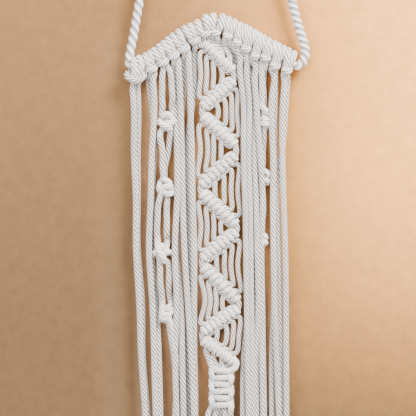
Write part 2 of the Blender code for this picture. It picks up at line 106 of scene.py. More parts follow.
SIDE_CORDS = {  # radius, leaving x and drop, x at LEVELS, depth at LEVELS
    "left_1": (
        1.97, -54.6, 48.4,
        (-54.9, -54.0, -52.7, -52.6, -50.6, -49.4, -46.7),
        (-2.3, -2.3, -2.3, -2.3, -2.3, -2.3, -2.3),
    ),
    "left_2": (
        1.97, -51.4, 47.5,
        (-51.7, -51.6, -51.5, -51.5, -48.8, -48.4, -45.3),
        (1.9, 1.9, 1.9, 1.9, 1.9, 1.9, 1.9),
    ),
    "left_3": (
        1.97, -44.4, 43.0,
        (-43.9, -41.0, -42.3, -42.7, -39.8, -38.0, -36.9),
        (3.2, 3.4, 3.4, 3.4, 2.6, 0.4, -0.6),
    ),
    "left_4": (
        1.97, -41.0, 42.0,
        (-40.5, -42.2, -43.1, -44.1, -42.1, -40.9, -39.8),
        (-2.3, -2.3, -2.3, -2.3, -2.3, -2.3, -2.3),
    ),
    "left_7": (
        1.95, -28.3, 35.0,
        (-27.1, -26.0, -25.9, -27.4, -26.3, -27.1, -26.3),
        (2.0, -2.4, -2.6, -2.5, -2.5, -2.4, -2.4),
    ),
    "left_8": (
        1.95, -25.0, 34.0,
        (-24.1, -22.8, -22.2, -21.1, -19.1, -16.9, -15.0),
        (-2.4, -1.1, -1.3, -2.2, -2.2, -2.6, -2.6),
    ),
    "left_9": (
        1.95, -22.0, 31.0,
        (-22.1, -24.7, -25.4, -26.1, -23.4, -22.6, -21.7),
        (3.2, 3.7, 3.5, 2.9, 0.8, -1.5, -1.6),
    ),
    "left_10": (
        1.95, -18.4, 30.0,
        (-17.6, -16.4, -15.8, -14.8, -14.8, -14.7, -14.1),
        (-2.3, -2.3, -2.3, -2.3, -1.6, 0.6, 1.0),
    ),
    "left_11": (
        1.95, -14.6, 25.2,
        (-15.0, -19.5, -19.3, -18.0, -18.2, -19.3, -18.4),
        (3.6, 4.2, 4.4, 4.4, 4.2, 4.2, 4.0),
    ),
    "right_1": (
        1.9, 8.2, 22.2,
        (17.6, 19.2, 19.6, 20.0, 20.3, 17.8, 16.9),
        (4.6, 4.6, 4.6, 4.6, 4.6, 3.2, 0.6),
    ),
    "right_2": (
        1.9, 11.6, 23.2,
        (21.6, 23.2, 23.6, 24.0, 24.3, 21.8, 21.0),
        (4.6, 4.6, 4.6, 4.6, 4.6, 4.4, 4.2),
    ),
    "right_3": (
        1.8, 14.2, 27.4,
        (16.2, 17.2, 18.1, 18.7, 19.2, 19.7, 20.3),
        (-2.6, -2.7, -2.7, -2.7, -2.7, -2.8, -2.9),
    ),
    "right_4": (
        1.8, 14.8, 26.5,
        (20.2, 20.6, 21.0, 21.9, 22.4, 22.4, 21.6),
        (1.6, 1.6, 1.6, 1.6, 1.6, 1.6, 1.6),
    ),
    "right_5": (
        1.8, 18.6, 30.0,
        (20.2, 20.6, 21.5, 22.1, 22.5, 22.8, 22.9),
        (-2.2, -1.7, -1.7, -1.7, -1.7, -1.6, -0.8),
    ),
    "right_6": (
        1.85, 19.8, 31.0,
        (23.1, 24.4, 25.4, 26.1, 26.8, 26.0, 25.7),
        (1.6, -0.7, -1.9, -2.7, -2.7, -0.6, -1.2),
    ),
    "right_7": (
        1.95, 24.4, 34.5,
        (24.7, 27.8, 29.6, 28.9, 29.3, 29.3, 29.9),
        (-2.5, -2.7, -2.4, -0.6, -0.6, -2.5, -2.6),
    ),
    "right_8": (
        1.85, 26.4, 35.5,
        (24.4, 25.4, 26.6, 26.9, 27.3, 27.6, 28.0),
        (1.8, 3.4, 3.2, 3.0, 3.0, 3.2, 3.2),
    ),
    "right_9": (
        1.9, 36.8, 41.0,
        (36.0, 36.2, 36.3, 36.7, 37.4, 38.5, 40.0),
        (-2.3, -2.3, -2.3, -2.3, -2.3, -2.3, -2.3),
    ),
    "right_10": (
        1.85, 38.0, 41.5,
        (36.8, 37.7, 38.9, 40.0, 40.8, 41.3, 41.6),
        (1.9, 1.6, 1.2, 1.0, 1.0, 1.0, 1.0),
    ),
    "right_11": (
        1.9, 43.6, 44.0,
        (40.9, 42.4, 43.2, 44.3, 44.7, 44.9, 45.1),
        (-2.3, -2.3, -2.3, -2.3, -2.3, -2.3, -2.3),
    ),
    "right_12": (
        1.85, 46.0, 44.0,
        (44.3, 42.6, 38.0, 37.4, 37.3, 35.9, 35.8),
        (1.9, 2.6, 4.7, 4.7, 4.2, 2.4, 1.4),
    ),
}
END_DRIFT = 0.5  # of the last step aside, on to the cut end
SETTLING = 7.0  # after which a cord hangs straight down from its head
SETTLED = 2.0  # from there to the next level at the least
LEAVING_DEPTH = 0.7  # of the cord's first depth, where it leaves the head
LEFT_PAIR_RADIUS, RIGHT_PAIR_RADIUS = 1.97, 1.9
LEFT_PAIR = [  # drop, then x and depth of one cord and of the other
    (40.0, -35.4, -2.2, -30.2, -1.4),
    (50.0, -35.5, -2.2, -29.4, -1.6),
    (57.2, -35.6, -2.2, -28.9, -1.8),
    (81.5, -30.4, 1.2, -36.6, -2.0),
    (86.5, -31.1, 1.4, -36.0, -2.2),
    (94.9, -32.5, 1.6, -35.2, -2.4),
    (102.7, -34.1, 1.8, -35.2, -2.4),
    (125.5, -37.8, -1.6, -32.8, -1.6),
    (133.9, -38.6, -1.4, -32.6, -1.8),
    (145.0, -38.8, -1.4, -32.6, -1.8),
    (167.7, -37.4, -2.0, -31.2, -1.4),
    (174.2, -36.9, -2.0, -31.2, -1.2),
    (187.0, -35.8, -2.2, -30.5, -0.6),
    (209.3, -30.2, 0.8, -29.6, -2.2),
    (219.7, -28.6, 2.0, -27.6, -1.6),
    (260.0, -25.8, 2.2, -27.2, 5.2),
]
# A knot is the way of each of its two cords through it: across, down, depth, radius.
FIRST_TIE = (
    [
        (-2.6, -9.0, -1.6, 2.1),
        (-3.1, -5.0, 0.4, 2.0),
        (-2.0, -3.6, -2.2, 2.0),
        (0.4, -5.0, -3.6, 2.0),
        (3.0, -3.4, -3.0, 2.0),
        (4.2, -0.6, -2.6, 2.1),
        (2.4, 1.0, -3.9, 2.1),
        (0.6, 0.4, -2.0, 1.9),
        (-1.0, -1.0, 2.4, 1.9),
        (1.6, 1.2, 3.4, 1.9),
        (2.8, 4.4, 1.2, 2.0),
        (2.4, 9.0, 0.6, 2.1),
    ],
    [
        (3.6, -9.0, 1.0, 2.1),
        (4.2, -4.0, 1.6, 2.0),
        (0.6, -2.4, 3.0, 2.0),
        (-3.4, -1.8, 1.4, 2.0),
        (-4.3, 0.0, -1.6, 2.1),
        (-2.8, 1.6, -4.0, 2.1),
        (-0.2, 2.8, -4.2, 2.1),
        (2.2, 4.0, -3.4, 2.0),
        (2.2, 5.0, -0.4, 1.9),
        (-0.8, 4.2, 0.6, 1.9),
        (-3.4, 5.6, -1.0, 2.0),
        (-4.2, 10.0, -1.4, 2.1),
    ],
)
SECOND_TIE = (
    [
        (-1.2, -9.5, 1.8, 2.1),
        (-2.2, -6.6, 0.6, 2.0),
        (-4.0, -3.8, -0.8, 2.0),
        (-4.5, -0.4, -1.2, 2.0),
        (-3.0, 2.0, 1.6, 1.9),
        (0.6, 0.6, 3.2, 1.9),
        (3.0, -0.6, 1.4, 1.9),
        (3.1, -1.0, -2.4, 2.0),
        (1.0, -1.7, -4.3, 2.1),
        (-1.4, -1.0, -4.0, 2.0),
        (-3.0, 1.4, -2.8, 2.0),
        (-3.6, 4.4, -1.6, 2.0),
        (-5.0, 9.5, -0.6, 2.1),
    ],
    [
        (-1.8, -9.5, -2.4, 2.1),
        (-1.5, -6.8, -2.6, 2.0),
        (1.4, -5.0, -2.0, 2.0),
        (3.0, -2.6, -0.8, 2.0),
        (3.9, 0.4, -0.8, 2.0),
        (3.2, 2.6, -3.0, 2.1),
        (0.8, 3.0, -4.2, 2.1),
        (-1.4, 2.2, -3.2, 1.9),
        (-2.2, 1.6, 0.6, 1.9),
        (-0.2, 2.8, 2.4, 1.9),
        (0.8, 6.0, 0.8, 2.0),
        (0.4, 10.0, 0.2, 2.1),
    ],
)
THIRD_TIE = (
    [
        (-3.0, -9.5, -1.6, 2.1),
        (-3.0, -5.0, -2.4, 2.1),
        (-1.8, -1.0, -4.2, 2.2),
        (0.6, 2.6, -4.4, 2.2),
        (1.8, 5.2, -2.4, 2.0),
        (1.0, 3.4, 1.4, 1.9),
        (-1.2, 0.4, 3.0, 1.9),
        (-0.6, -3.8, 1.6, 1.9),
        (-0.2, -4.9, -1.6, 2.0),
        (-2.0, -2.6, -1.6, 1.9),
        (-4.6, -0.4, -1.6, 2.0),
        (-2.8, 1.6, 1.4, 1.9),
        (-1.8, 5.0, 0.4, 2.0),
        (-1.5, 10.0, -1.0, 2.1),
    ],
    [
        (3.2, -9.5, 1.6, 2.1),
        (3.0, -5.0, -0.8, 2.0),
        (1.6, -2.0, -1.0, 1.9),
        (0.4, -0.4, 2.0, 1.9),
        (3.4, 0.2, 2.2, 1.9),
        (5.1, -0.6, -0.8, 2.0),
        (3.4, -0.8, -3.4, 2.0),
        (1.0, 0.8, -2.6, 1.9),
        (0.4, 3.2, -0.6, 1.9),
        (3.0, 5.4, 0.4, 2.0),
        (4.4, 10.0, 0.6, 2.1),
    ],
)
FOURTH_TIE = (
    [
        (-2.8, -9.5, -1.8, 2.1),
        (-2.8, -4.0, -2.6, 2.1),
        (-3.0, -0.4, -2.8, 2.1),
        (-1.4, 1.0, 1.2, 1.9),
        (1.8, 0.4, 1.2, 1.9),
        (1.6, 0.0, -2.6, 2.0),
        (-1.0, 0.3, -4.4, 2.0),
        (-3.2, 0.8, -2.4, 2.0),
        (-1.4, 2.4, 1.6, 1.9),
        (1.8, 2.8, 0.2, 1.9),
        (0.0, 2.6, -3.6, 2.0),
        (-2.4, 2.4, -3.8, 2.0),
        (-3.2, 3.4, -0.6, 1.9),
        (0.4, 4.6, 1.4, 1.9),
        (2.2, 10.0, 0.8, 2.1),
    ],
    [
        (2.4, -9.5, 1.6, 2.1),
        (2.2, -5.6, -1.0, 1.9),
        (0.6, -4.6, -1.6, 1.8),
        (-0.4, -4.2, 1.2, 1.8),
        (2.2, -3.8, 1.6, 1.7),
        (3.6, -3.4, -1.0, 1.7),
        (1.6, -3.2, -2.9, 1.7),
        (0.0, -2.8, -1.4, 1.7),
        (0.6, -2.2, 1.8, 1.7),
        (3.2, -1.8, 0.6, 1.7),
        (2.8, -1.4, -2.4, 1.8),
        (1.6, 1.0, -2.2, 1.9),
        (2.6, 4.8, -2.4, 2.0),
        (3.2, 10.0, -2.2, 2.1),
    ],
)
LEFT_KNOTS = [  # x, drop, knot
    (-32.8, 71.5, FIRST_TIE),
    (-33.0, 115.2, SECOND_TIE),
    (-35.6, 156.7, THIRD_TIE),
    (-32.8, 196.5, FOURTH_TIE),
]
RIGHT_PAIR = [
    (40.0, 28.9, -1.6, 30.6, 1.8),
    (50.0, 29.0, -1.8, 30.2, 1.6),
    (57.0, 29.4, -1.8, 30.6, 1.6),
    (80.0, 30.2, 1.0, 29.2, 4.2),
    (90.0, 30.0, 1.4, 28.6, 4.6),
    (98.0, 30.0, 1.4, 28.9, 4.6),
    (119.0, 30.1, 1.4, 28.9, 4.6),
    (132.0, 30.0, 1.4, 28.9, 4.6),
    (140.0, 29.6, 1.4, 28.8, 4.6),
    (158.0, 28.7, 1.6, 28.0, 4.8),
    (171.0, 28.5, 1.8, 28.0, 5.0),
    (187.0, 29.2, 1.6, 28.6, 4.8),
    (220.0, 30.0, 1.4, 29.0, 4.8),
    (260.0, 30.7, 1.0, 29.6, 4.6),
]
FRONT_TIE = (
    [
        (-2.2, -13.0, -1.8, 1.95),
        (-1.8, -8.6, -1.6, 1.95),
        (0.2, -6.6, -2.4, 1.9),
        (1.3, -5.0, -1.4, 1.8),
        (1.2, -3.4, 1.0, 1.7),
        (-0.6, -2.6, 2.4, 1.7),
        (-1.4, -1.6, 0.2, 1.8),
        (-0.7, -0.9, -3.2, 2.0),
        (0.8, -0.6, -3.1, 2.0),
        (1.4, 0.1, 0.0, 1.8),
        (0.2, 0.9, 2.6, 1.7),
        (-1.4, 1.5, 0.4, 1.8),
        (-0.7, 2.2, -3.3, 2.05),
        (0.8, 2.5, -3.1, 2.05),
        (1.3, 3.4, -0.4, 1.8),
        (-0.2, 5.4, 0.8, 1.8),
        (-0.6, 9.0, 1.0, 1.9),
    ],
    [
        (-0.6, -13.0, 1.6, 1.95),
        (-0.8, -8.0, 1.4, 1.9),
        (-1.0, -4.0, 0.4, 1.7),
        (-0.4, 1.0, 0.2, 1.4),
        (-0.8, 5.0, 1.4, 1.8),
        (-1.8, 9.0, 3.0, 1.9),
    ],
)
SIDE_TIE = (
    [
        (-2.4, -9.0, 1.4, 1.9),
        (-2.2, -5.0, 1.0, 1.9),
        (-0.4, -4.2, -0.8, 1.8),
        (1.1, -2.6, -0.8, 1.8),
        (0.6, -0.8, 1.8, 1.7),
        (-1.8, -0.2, 1.6, 1.7),
        (-1.0, 1.2, -1.0, 1.8),
        (0.9, 1.8, -0.8, 1.8),
        (1.0, 3.2, 1.4, 1.7),
        (-1.8, 3.4, 2.0, 1.7),
        (-2.3, 9.0, 1.4, 1.9),
    ],
    [(-3.6, -9.0, 4.6, 1.9), (-2.4, -2.0, 3.8, 1.7), (-2.4, 3.0, 3.8, 1.7), (-3.6, 9.0, 4.6, 1.9)],
)
SLIGHT_TIE = (
    [(x - 1.0, drop * 0.8, depth, radius) for x, drop, depth, radius in SIDE_TIE[0]],
    SIDE_TIE[1],
)
RIGHT_KNOTS = [(31.4, 70.6, FRONT_TIE), (32.3, 108.0, SIDE_TIE), (31.6, 148.2, SLIGHT_TIE)]
BARS = [  # x, drop of the upper end, x, drop of the lower end
    (-8.1, 20.6, 9.9, 37.6),
    (10.4, 45.2, -8.8, 61.1),
    (-8.8, 68.2, 11.4, 85.8),
    (11.7, 93.9, -9.9, 112.1),
    (-9.7, 118.3, 12.0, 137.6),
    (12.0, 143.5, -9.1, 159.9),
    (-8.8, 166.4, 13.2, 187.0),
    (13.2, 193.3, -8.8, 207.7),
    (-8.6, 213.8, 10.4, 226.8),
]
BAR_DEPTH = -0.6
AFTER_LEFT_TURN = (0.3, 0.52, 0.72, 0.92)  # where the cords sit along two bars that meet on the left
AFTER_RIGHT_TURN = (0.08, 0.28, 0.48, 0.7)
BETWEEN_BARS = [  # x of each cord midway between a bar and the next, from the left
    (-10.6, -6.6, -2.2, 3.4),
    (0.8, 5.7, 9.5, 13.0),
    (-10.8, -5.9, -2.1, 2.6),
    (-1.4, 4.5, 9.1, 13.5),
    (-10.4, -6.3, -2.0, 2.3),
    (-0.3, 4.7, 9.0, 13.5),
    (-7.8, -4.3, -0.5, 3.4),
    (0.0, 6.4, 10.4, 14.3),
]
ZIGZAG_MIDDLE = 2.0  # x
ZIGZAG_STARTS = [(-9.6, 19.0, 0.6), (-4.6, 19.4, 0.8), (-2.6, 19.0, 0.8), (1.4, 18.6, 1.2)]
LEADER_START = (-11.6, 22.0, 0.0)
TAIL_ENDS = [  # x in the braid, x at the cut level, depth
    (-6.0, -6.4, -1.2),
    (-1.2, -1.2, -1.6),
    (2.2, 3.4, 1.8),
    (5.2, 7.2, -1.8),
    (8.8, 11.2, -0.6),
]

# ---- knots, hitches and braid, which the solid model has as ridged bodies ----
HEADS = [  # name, x of the tops of its two wraps, bight's x and drop, half its width
    ("head_1", -46.5, -43.6, -42.2, 38.0, 2.6),
    ("head_2", -41.1, -37.8, -34.6, 33.7, 2.6),
    ("head_3", -34.9, -32.0, -27.6, 29.4, 2.6),
    ("head_4", -29.1, -25.4, -20.8, 25.2, 2.6),
    ("head_5", -21.3, -17.6, -13.7, 19.6, 2.4),
    ("head_6", -12.9, -7.6, -7.2, 15.0, 2.2),
    ("head_7", -2.6, 3.6, -1.2, 14.2, 1.9),
    ("head_8", 7.7, 11.5, 6.9, 16.4, 1.9),
    ("head_9", 15.2, 18.6, 12.7, 20.7, 1.6),
    ("head_10", 21.0, 24.4, 18.4, 24.8, 1.8),
    ("head_11", 27.4, 30.4, 24.3, 29.4, 1.5),
    ("head_12", 33.5, 37.2, 31.2, 30.8, 1.9),
    ("head_13", 40.0, 43.4, 37.2, 36.0, 1.9),
    ("head_14", 46.6, 50.2, 45.0, 38.8, 1.9),
]
HEAD_CORD = 2.12  # radius of a wrap
TIGHT_WRAPS = 3.8  # from one wrap of a head to the other
SLACK_SPREAD = 0.3  # of the radius, for each millimetre that the wraps lie further apart
WIDEST_HEAD_CORD = 2.6
HEAD_RELIEF = 0.83
KNOT_RELIEF = 0.75
KNOT_CLEARANCE = 1.5  # from a knot's first and last rows to the next row of the cord
WRAP_HALF = 3.8  # from the rope's middle to the middle of a wrap
BIGHT_DEPTH = -5.2
BAR_CORD = 1.8
BAR_RELIEF = 0.8
TAUT_CORD = 1.58  # the cords between bars
BAR_TURN_RADIUS = 1.88  # of a wrap's middle round the leading cord
BAR_SPREAD = 1.07  # of the wraps past the ends in the table
BAR_WRAPS = 8
BAR_LEAVING = (1.9, 3.6, 1.2)  # how far aside, below and behind a bar's middle its cords hang free
LEADER_IN_BAR = 1.2  # radius
LEADER_AT_END = 1.9
LEADER_SHARES = (0.0, 0.12, 0.5, 0.88, 1.0)
LEADER_TURN = (0.9, 2.1)  # how far it swings out between two bars, and its radius there
BRAID_LEVELS = (232.7, 237.3, 241.6, 246.0, 250.4, 255.0)
BRAID_MIDDLE = 2.8  # x
BRAID_CORD = 2.0
FRONT_TYER = [  # across, down, depth in one knot of the braid
    (-4.9, -0.5, -1.9),
    (-2.4, 0.0, -4.0),
    (2.4, 0.3, -4.0),
    (4.9, 0.9, -1.7),
    (6.4, 2.1, 0.3),
]
BACK_TYER = [
    (5.6, 0.2, -1.6),
    (4.2, 1.0, 2.2),
    (0.0, 0.0, 3.9),
    (-4.4, -0.6, 2.4),
    (-6.4, -0.2, -0.8),
    (-6.3, 1.8, -3.4),
]
INTO_BRAID = (  # the zigzag's four working cords, then the leading cord
    [(-5.0, 226.0, 0.6, 2.0)],
    [(-1.0, 229.0, 0.4, 2.0)],
    [(3.0, 229.0, 0.4, 2.0)],
    [(11.8, 227.0, -1.4, 2.3, KNOT_RELIEF), (11.8, 230.6, -2.6, 2.3, KNOT_RELIEF)],
    [(9.0, 229.0, 1.5, 1.8)],
)
FILLER_ROWS = [(231.0, 0.6, 1.6), (244.0, 0.6, 1.6), (256.0, 0.7, 1.8)]  # drop, share of x, radius
FILLER_BEHIND = 0.4  # the bars' depth
TAIL_TOP, TAIL_BEND = 262.5, 275.0  # drop


def in_world(rows):
    """Rows of the tables as points in the part's own frame, in metres."""
    rows = np.asarray(rows, float)
    return np.stack([rows[:, 0] - HOOK[0], rows[:, 2], HOOK[1] - rows[:, 1]], axis=1) * MM


def spline(rows, step):
    """A natural cubic spline through the rows' points; the other columns run straight between rows."""
    rows = np.asarray(rows, float)
    where = np.concatenate([[0], np.cumsum(np.linalg.norm(np.diff(rows[:, :3], axis=0), axis=1))])
    gaps = np.diff(where)
    count = len(rows)
    system = np.eye(count)
    wanted = np.zeros((count, 3))
    points = rows[:, :3]
    for i in range(1, count - 1):
        system[i, i - 1 : i + 2] = gaps[i - 1], 2 * (gaps[i - 1] + gaps[i]), gaps[i]
        wanted[i] = 6 * (
            (points[i + 1] - points[i]) / gaps[i] - (points[i] - points[i - 1]) / gaps[i - 1]
        )
    bends = np.linalg.solve(system, wanted)
    at = np.linspace(0, where[-1], max(2, int(where[-1] / step)))
    leg = np.clip(np.searchsorted(where, at, side="right") - 1, 0, count - 2)
    gap = gaps[leg][:, None]
    right = ((at - where[leg]) / gaps[leg])[:, None]
    left = 1 - right
    curve = (
        left * points[leg]
        + right * points[leg + 1]
        + ((left**3 - left) * bends[leg] + (right**3 - right) * bends[leg + 1]) * gap**2 / 6
    )
    rest = [np.interp(at, where, rows[:, column]) for column in range(3, rows.shape[1])]
    return curve, rest


def sections(rows):
    """Points, radii, turns of the lay, lengths and reliefs, closer together where a route bends."""
    curve, (radii, pitches, reliefs) = spline(rows, SPLINE_STEP)
    steps = np.linalg.norm(np.diff(curve, axis=0), axis=1)
    way = np.diff(curve, axis=0) / steps[:, None]
    bend = np.zeros(len(steps))
    bend[1:] = np.linalg.norm(np.diff(way, axis=0), axis=1)
    effort = np.concatenate([[0], np.cumsum(steps / LONGEST_STEP + bend * BEND_STEPS)])
    length = np.concatenate([[0], np.cumsum(steps)])
    turn = np.concatenate([[0], np.cumsum(steps / pitches[1:])])
    at = np.linspace(0, effort[-1], max(3, round(effort[-1])))
    points = np.stack([np.interp(at, effort, curve[:, i]) for i in range(3)], axis=1)
    return (
        points,
        np.interp(at, effort, radii),
        np.interp(at, effort, turn),
        np.interp(at, effort, length),
        np.interp(at, effort, reliefs),
    )


def transported(points, front):
    """Two directions across the path at each point, which turn no more than they must."""
    way = np.gradient(points, axis=0)
    way /= np.linalg.norm(way, axis=1)[:, None]
    fronts = []
    for along in way:
        front = front - along * (front @ along)
        front = front / np.linalg.norm(front)
        fronts.append(front)
    fronts = np.array(fronts)
    return fronts, np.cross(way, fronts)


def ply_ring(plies, fullness):
    """The section's radius at each of its points, which start in a valley between two plies."""
    turned = (np.arange(PLY_POINTS[plies]) / PLY_POINTS[plies] - 0.5) * 2 * np.pi / plies
    ring = (1 - fullness) * np.cos(turned) + np.sqrt(
        fullness**2 - ((1 - fullness) * np.sin(turned)) ** 2
    )
    return np.tile(ring, plies)


class Strands:
    """The laid cords of one piece, gathered into one mesh."""

    def __init__(self):
        self.points, self.quads, self.caps = [], [], []
        self.around, self.along, self.tightness = [], [], []
        self.count = 0
        self.length = 0.0

    def lay(self, rows, plies, fullness):
        """Adds a laid cord along rows of x, drop, depth, radius, pitch and relief of the plies."""
        path, radii, turns, length, reliefs = sections(rows)
        path = in_world(path)
        front, side = transported(path, np.array([0.0, -1.0, 0.0]))
        ring = ply_ring(plies, fullness)
        sides = len(ring)
        turned = 2 * np.pi * (np.arange(sides) / sides)
        angle = turned[None, :] - 2 * np.pi * turns[:, None] + RANDOM.uniform(0, 2 * np.pi)
        middle = ring.mean()
        size = (middle + (ring[None, :] - middle) * reliefs[:, None]) * radii[:, None] * MM
        points = (
            path[:, None, :]
            + front[:, None, :] * (np.cos(angle) * size)[:, :, None]
            + side[:, None, :] * (np.sin(angle) * size)[:, :, None]
        )
        rings = len(path)
        index = self.count + np.arange(rings * sides).reshape(rings, sides)
        following = np.roll(index, -1, axis=1)
        quads = np.stack([index[:-1], following[:-1], following[1:], index[1:]], axis=-1)
        self.points.append(points.reshape(-1, 3))
        self.quads.append(quads.reshape(-1, 4))
        self.caps += [index[0][::-1], index[-1]]
        share = np.arange(sides) / sides
        step = 1 / sides
        around = np.stack([share, share + step, share + step, share], axis=-1)
        self.around.append(np.tile(around, (rings - 1, 1)).reshape(-1, 4))
        tightness = np.round((1 - reliefs[:-1]) * TIGHTNESS_LEVELS)
        self.tightness.append(np.repeat(tightness, sides))
        start = self.length + length[:-1]
        end = self.length + length[1:]
        along = np.stack([start, start, end, end], axis=-1)
        self.along.append(np.repeat(along, sides, axis=0))
        self.count += rings * sides
        self.length += length[-1]

    def cord(self, rows):
        """Adds a cotton cord along rows of x, drop, depth and, where they are given, radius and relief."""
        pitch = CORD_PITCH * RANDOM.uniform(*PITCH_SPREAD)
        full = []
        for row in rows:
            radius = row[3] if len(row) > 3 else CORD_RADIUS
            full.append((*row[:3], radius, pitch, row[4] if len(row) > 4 else 1.0))
        self.lay(full, **CORD_LAY)

    def piece(self, name, material, nodes):
        """Makes the piece; its "lay" layer tells the material where on the cord each corner lies."""
        quads = np.concatenate(self.quads)
        around, along = np.concatenate(self.around), np.concatenate(self.along)
        faces = quads.tolist() + [cap.tolist() for cap in self.caps]
        mesh = bpy.data.meshes.new(name)
        mesh.from_pydata(np.concatenate(self.points).tolist(), [], faces)
        cap_loops = sum(len(cap) for cap in self.caps)
        lay = mesh.uv_layers.new(name="lay")
        told = around + 2 * np.concatenate(self.tightness)[:, None]
        flat = np.stack([told.reshape(-1), along.reshape(-1) * MM], axis=-1)
        flat = np.concatenate([flat, np.zeros((cap_loops, 2))])
        lay.data.foreach_set("uv", flat.reshape(-1))
        bake = mesh.uv_layers.new(name="OFBake")
        bake.data.foreach_set("uv", self.strips(around, along, cap_loops).reshape(-1))
        mesh.uv_layers.active = lay
        mesh.shade_smooth()
        mesh.materials.append(material)
        mesh.validate()
        obj = bpy.data.objects.new(name, mesh)
        bpy.context.scene.collection.objects.link(obj)
        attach(obj, "root")
        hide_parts(*nodes)

    def strips(self, around, along, cap_loops):
        """The cords laid out side by side in strips that fill the unit square."""
        rows = max(1, round(math.sqrt(self.length / (2 * math.pi * CORD_RADIUS))))
        reach = self.length / rows
        row = np.floor(along[:, 0] / reach).clip(0, rows - 1)[:, None]
        u = (along - row * reach) / (reach + 3 * LONGEST_STEP)
        v = (row + STRIP_MARGIN + (1 - 2 * STRIP_MARGIN) * around) / rows
        flat = np.stack([u, v], axis=-1).reshape(-1, 2)
        caps = np.full((cap_loops, 2), 0.5 * STRIP_MARGIN / rows)
        return np.concatenate([flat, caps])


# ---- routes ----


def cut_end():
    """The drop of a cord's cut end, a little different for each."""
    return CUT_LEVEL + RANDOM.uniform(-CUT_SPREAD, 0.0)


def header_edge(x, cord):
    """The upper edge of the header at x, one cord's radius inside its outline."""
    table = np.array(HEADER)
    drop = np.interp(x, table[:, 0], table[:, 1])
    radius = np.interp(x, table[:, 0], table[:, 2])
    slope = np.interp(x, table[:, 0], np.gradient(table[:, 1], table[:, 0]))
    across = 1 / math.sqrt(1 + slope * slope)
    return np.array([x, drop - (radius - cord) / across])


def half_head(top, bight, down, side, out, reach, cord):
    """Half a lark's head, from the middle of its bight to where its strand goes behind the bight."""
    right = np.array([down[1], -down[0]])

    def at(base, along_down, across, depth, radius=cord):
        point = np.array(base) + down * along_down + right * across
        return (point[0], point[1], depth, radius, HEAD_RELIEF)

    return [
        at(bight, -0.1, side * reach / 2, BIGHT_DEPTH + 0.2, 2.1),
        at(bight, -0.5, side * reach * 0.9, BIGHT_DEPTH + 1.5, 1.9),
        at(bight, -1.6, side * reach, -1.8, 1.8),
        at(bight, -3.4, side * (reach + 0.2), 0.4, 1.8),
        at(top, 2 * WRAP_HALF - 0.4, side * 0.4, 2.6),
        at(top, WRAP_HALF, 0.0, WRAP_HALF),
        at(top, 1.1, 0.0, 2.8),
        at(top, 0.0, 0.0, 0.0),
        at(top, 1.1, 0.0, -2.8),
        at(top, WRAP_HALF, -side * 0.1, -WRAP_HALF, cord + 0.2),
        at(top, 2 * WRAP_HALF - 1.0, -side * 0.4, -3.3, cord + 0.15),
        at(bight, -1.4, side * 1.2, -1.7, 1.7),
        at(bight, 1.8, side * 1.5, -1.2, 1.75),
        (*out[:3], CORD_RADIUS),
    ]


def lark_head(head, left_way, right_way):
    """The whole cord of a lark's head: up one strand, round the rope, and down the other."""
    _, first, second, x, drop, reach = head
    slack = max(0.0, second - first - TIGHT_WRAPS)
    cord = min(HEAD_CORD + slack * SLACK_SPREAD, WIDEST_HEAD_CORD)
    tops = [header_edge(first, cord), header_edge(second, cord)]
    bight = np.array([x, drop])
    down = bight - (tops[0] + tops[1]) / 2
    down /= np.linalg.norm(down)
    left = half_head(tops[0], bight, down, -1, left_way[0], reach, cord)
    right = half_head(tops[1], bight, down, 1, right_way[0], reach, cord)
    middle = (x, drop, BIGHT_DEPTH, 2.2, HEAD_RELIEF)
    return left_way[:0:-1] + left[::-1] + [middle] + right + right_way[1:]


def hanging(name):
    """A side cord's way from the header to its cut end."""
    radius, leave_x, leave_drop, across, depths = SIDE_CORDS[name]
    rows = [
        (x, level, depth, radius)
        for x, level, depth in zip(across, LEVELS, depths)
        if level > leave_drop + SETTLING + SETTLED
    ]
    settled = leave_drop + SETTLING
    share = SETTLING / (rows[0][1] - leave_drop)
    rows.insert(0, (leave_x + (rows[0][0] - leave_x) * share, settled, rows[0][2], radius))
    rows.insert(0, (leave_x, leave_drop, rows[0][2] * LEAVING_DEPTH, radius))
    drift = (across[-1] - across[-2]) * END_DRIFT
    return rows + [(across[-1] + drift, cut_end(), depths[-1], radius)]


def tied(rows, which, knots, radius):
    """A tied cord's way, in which each knot takes the place of the rows that it spans."""
    way = [(row[2 * which - 1], row[0], row[2 * which], radius) for row in rows]
    last = way[-1]
    for x, drop, routes in knots:
        route = [
            (x + across, drop + down, depth, knot_radius, KNOT_RELIEF)
            for across, down, depth, knot_radius in routes[which - 1]
        ]
        route[0], route[-1] = route[0][:4], route[-1][:4]  # full relief where the cord comes and goes
        above = [row for row in way if row[1] < route[0][1] - KNOT_CLEARANCE]
        below = [row for row in way if row[1] > route[-1][1] + KNOT_CLEARANCE]
        way = above + route + below
    return way + [(last[0], cut_end(), *last[2:])]


def on_bar(bar, share):
    """The point on a bar's middle at a share of its width, from its left end, as x and drop."""
    x0, drop0, x1, drop1 = bar
    if x0 > x1:
        x0, drop0, x1, drop1 = x1, drop1, x0, drop0
    return np.array([x0 + (x1 - x0) * share, drop0 + (drop1 - drop0) * share])


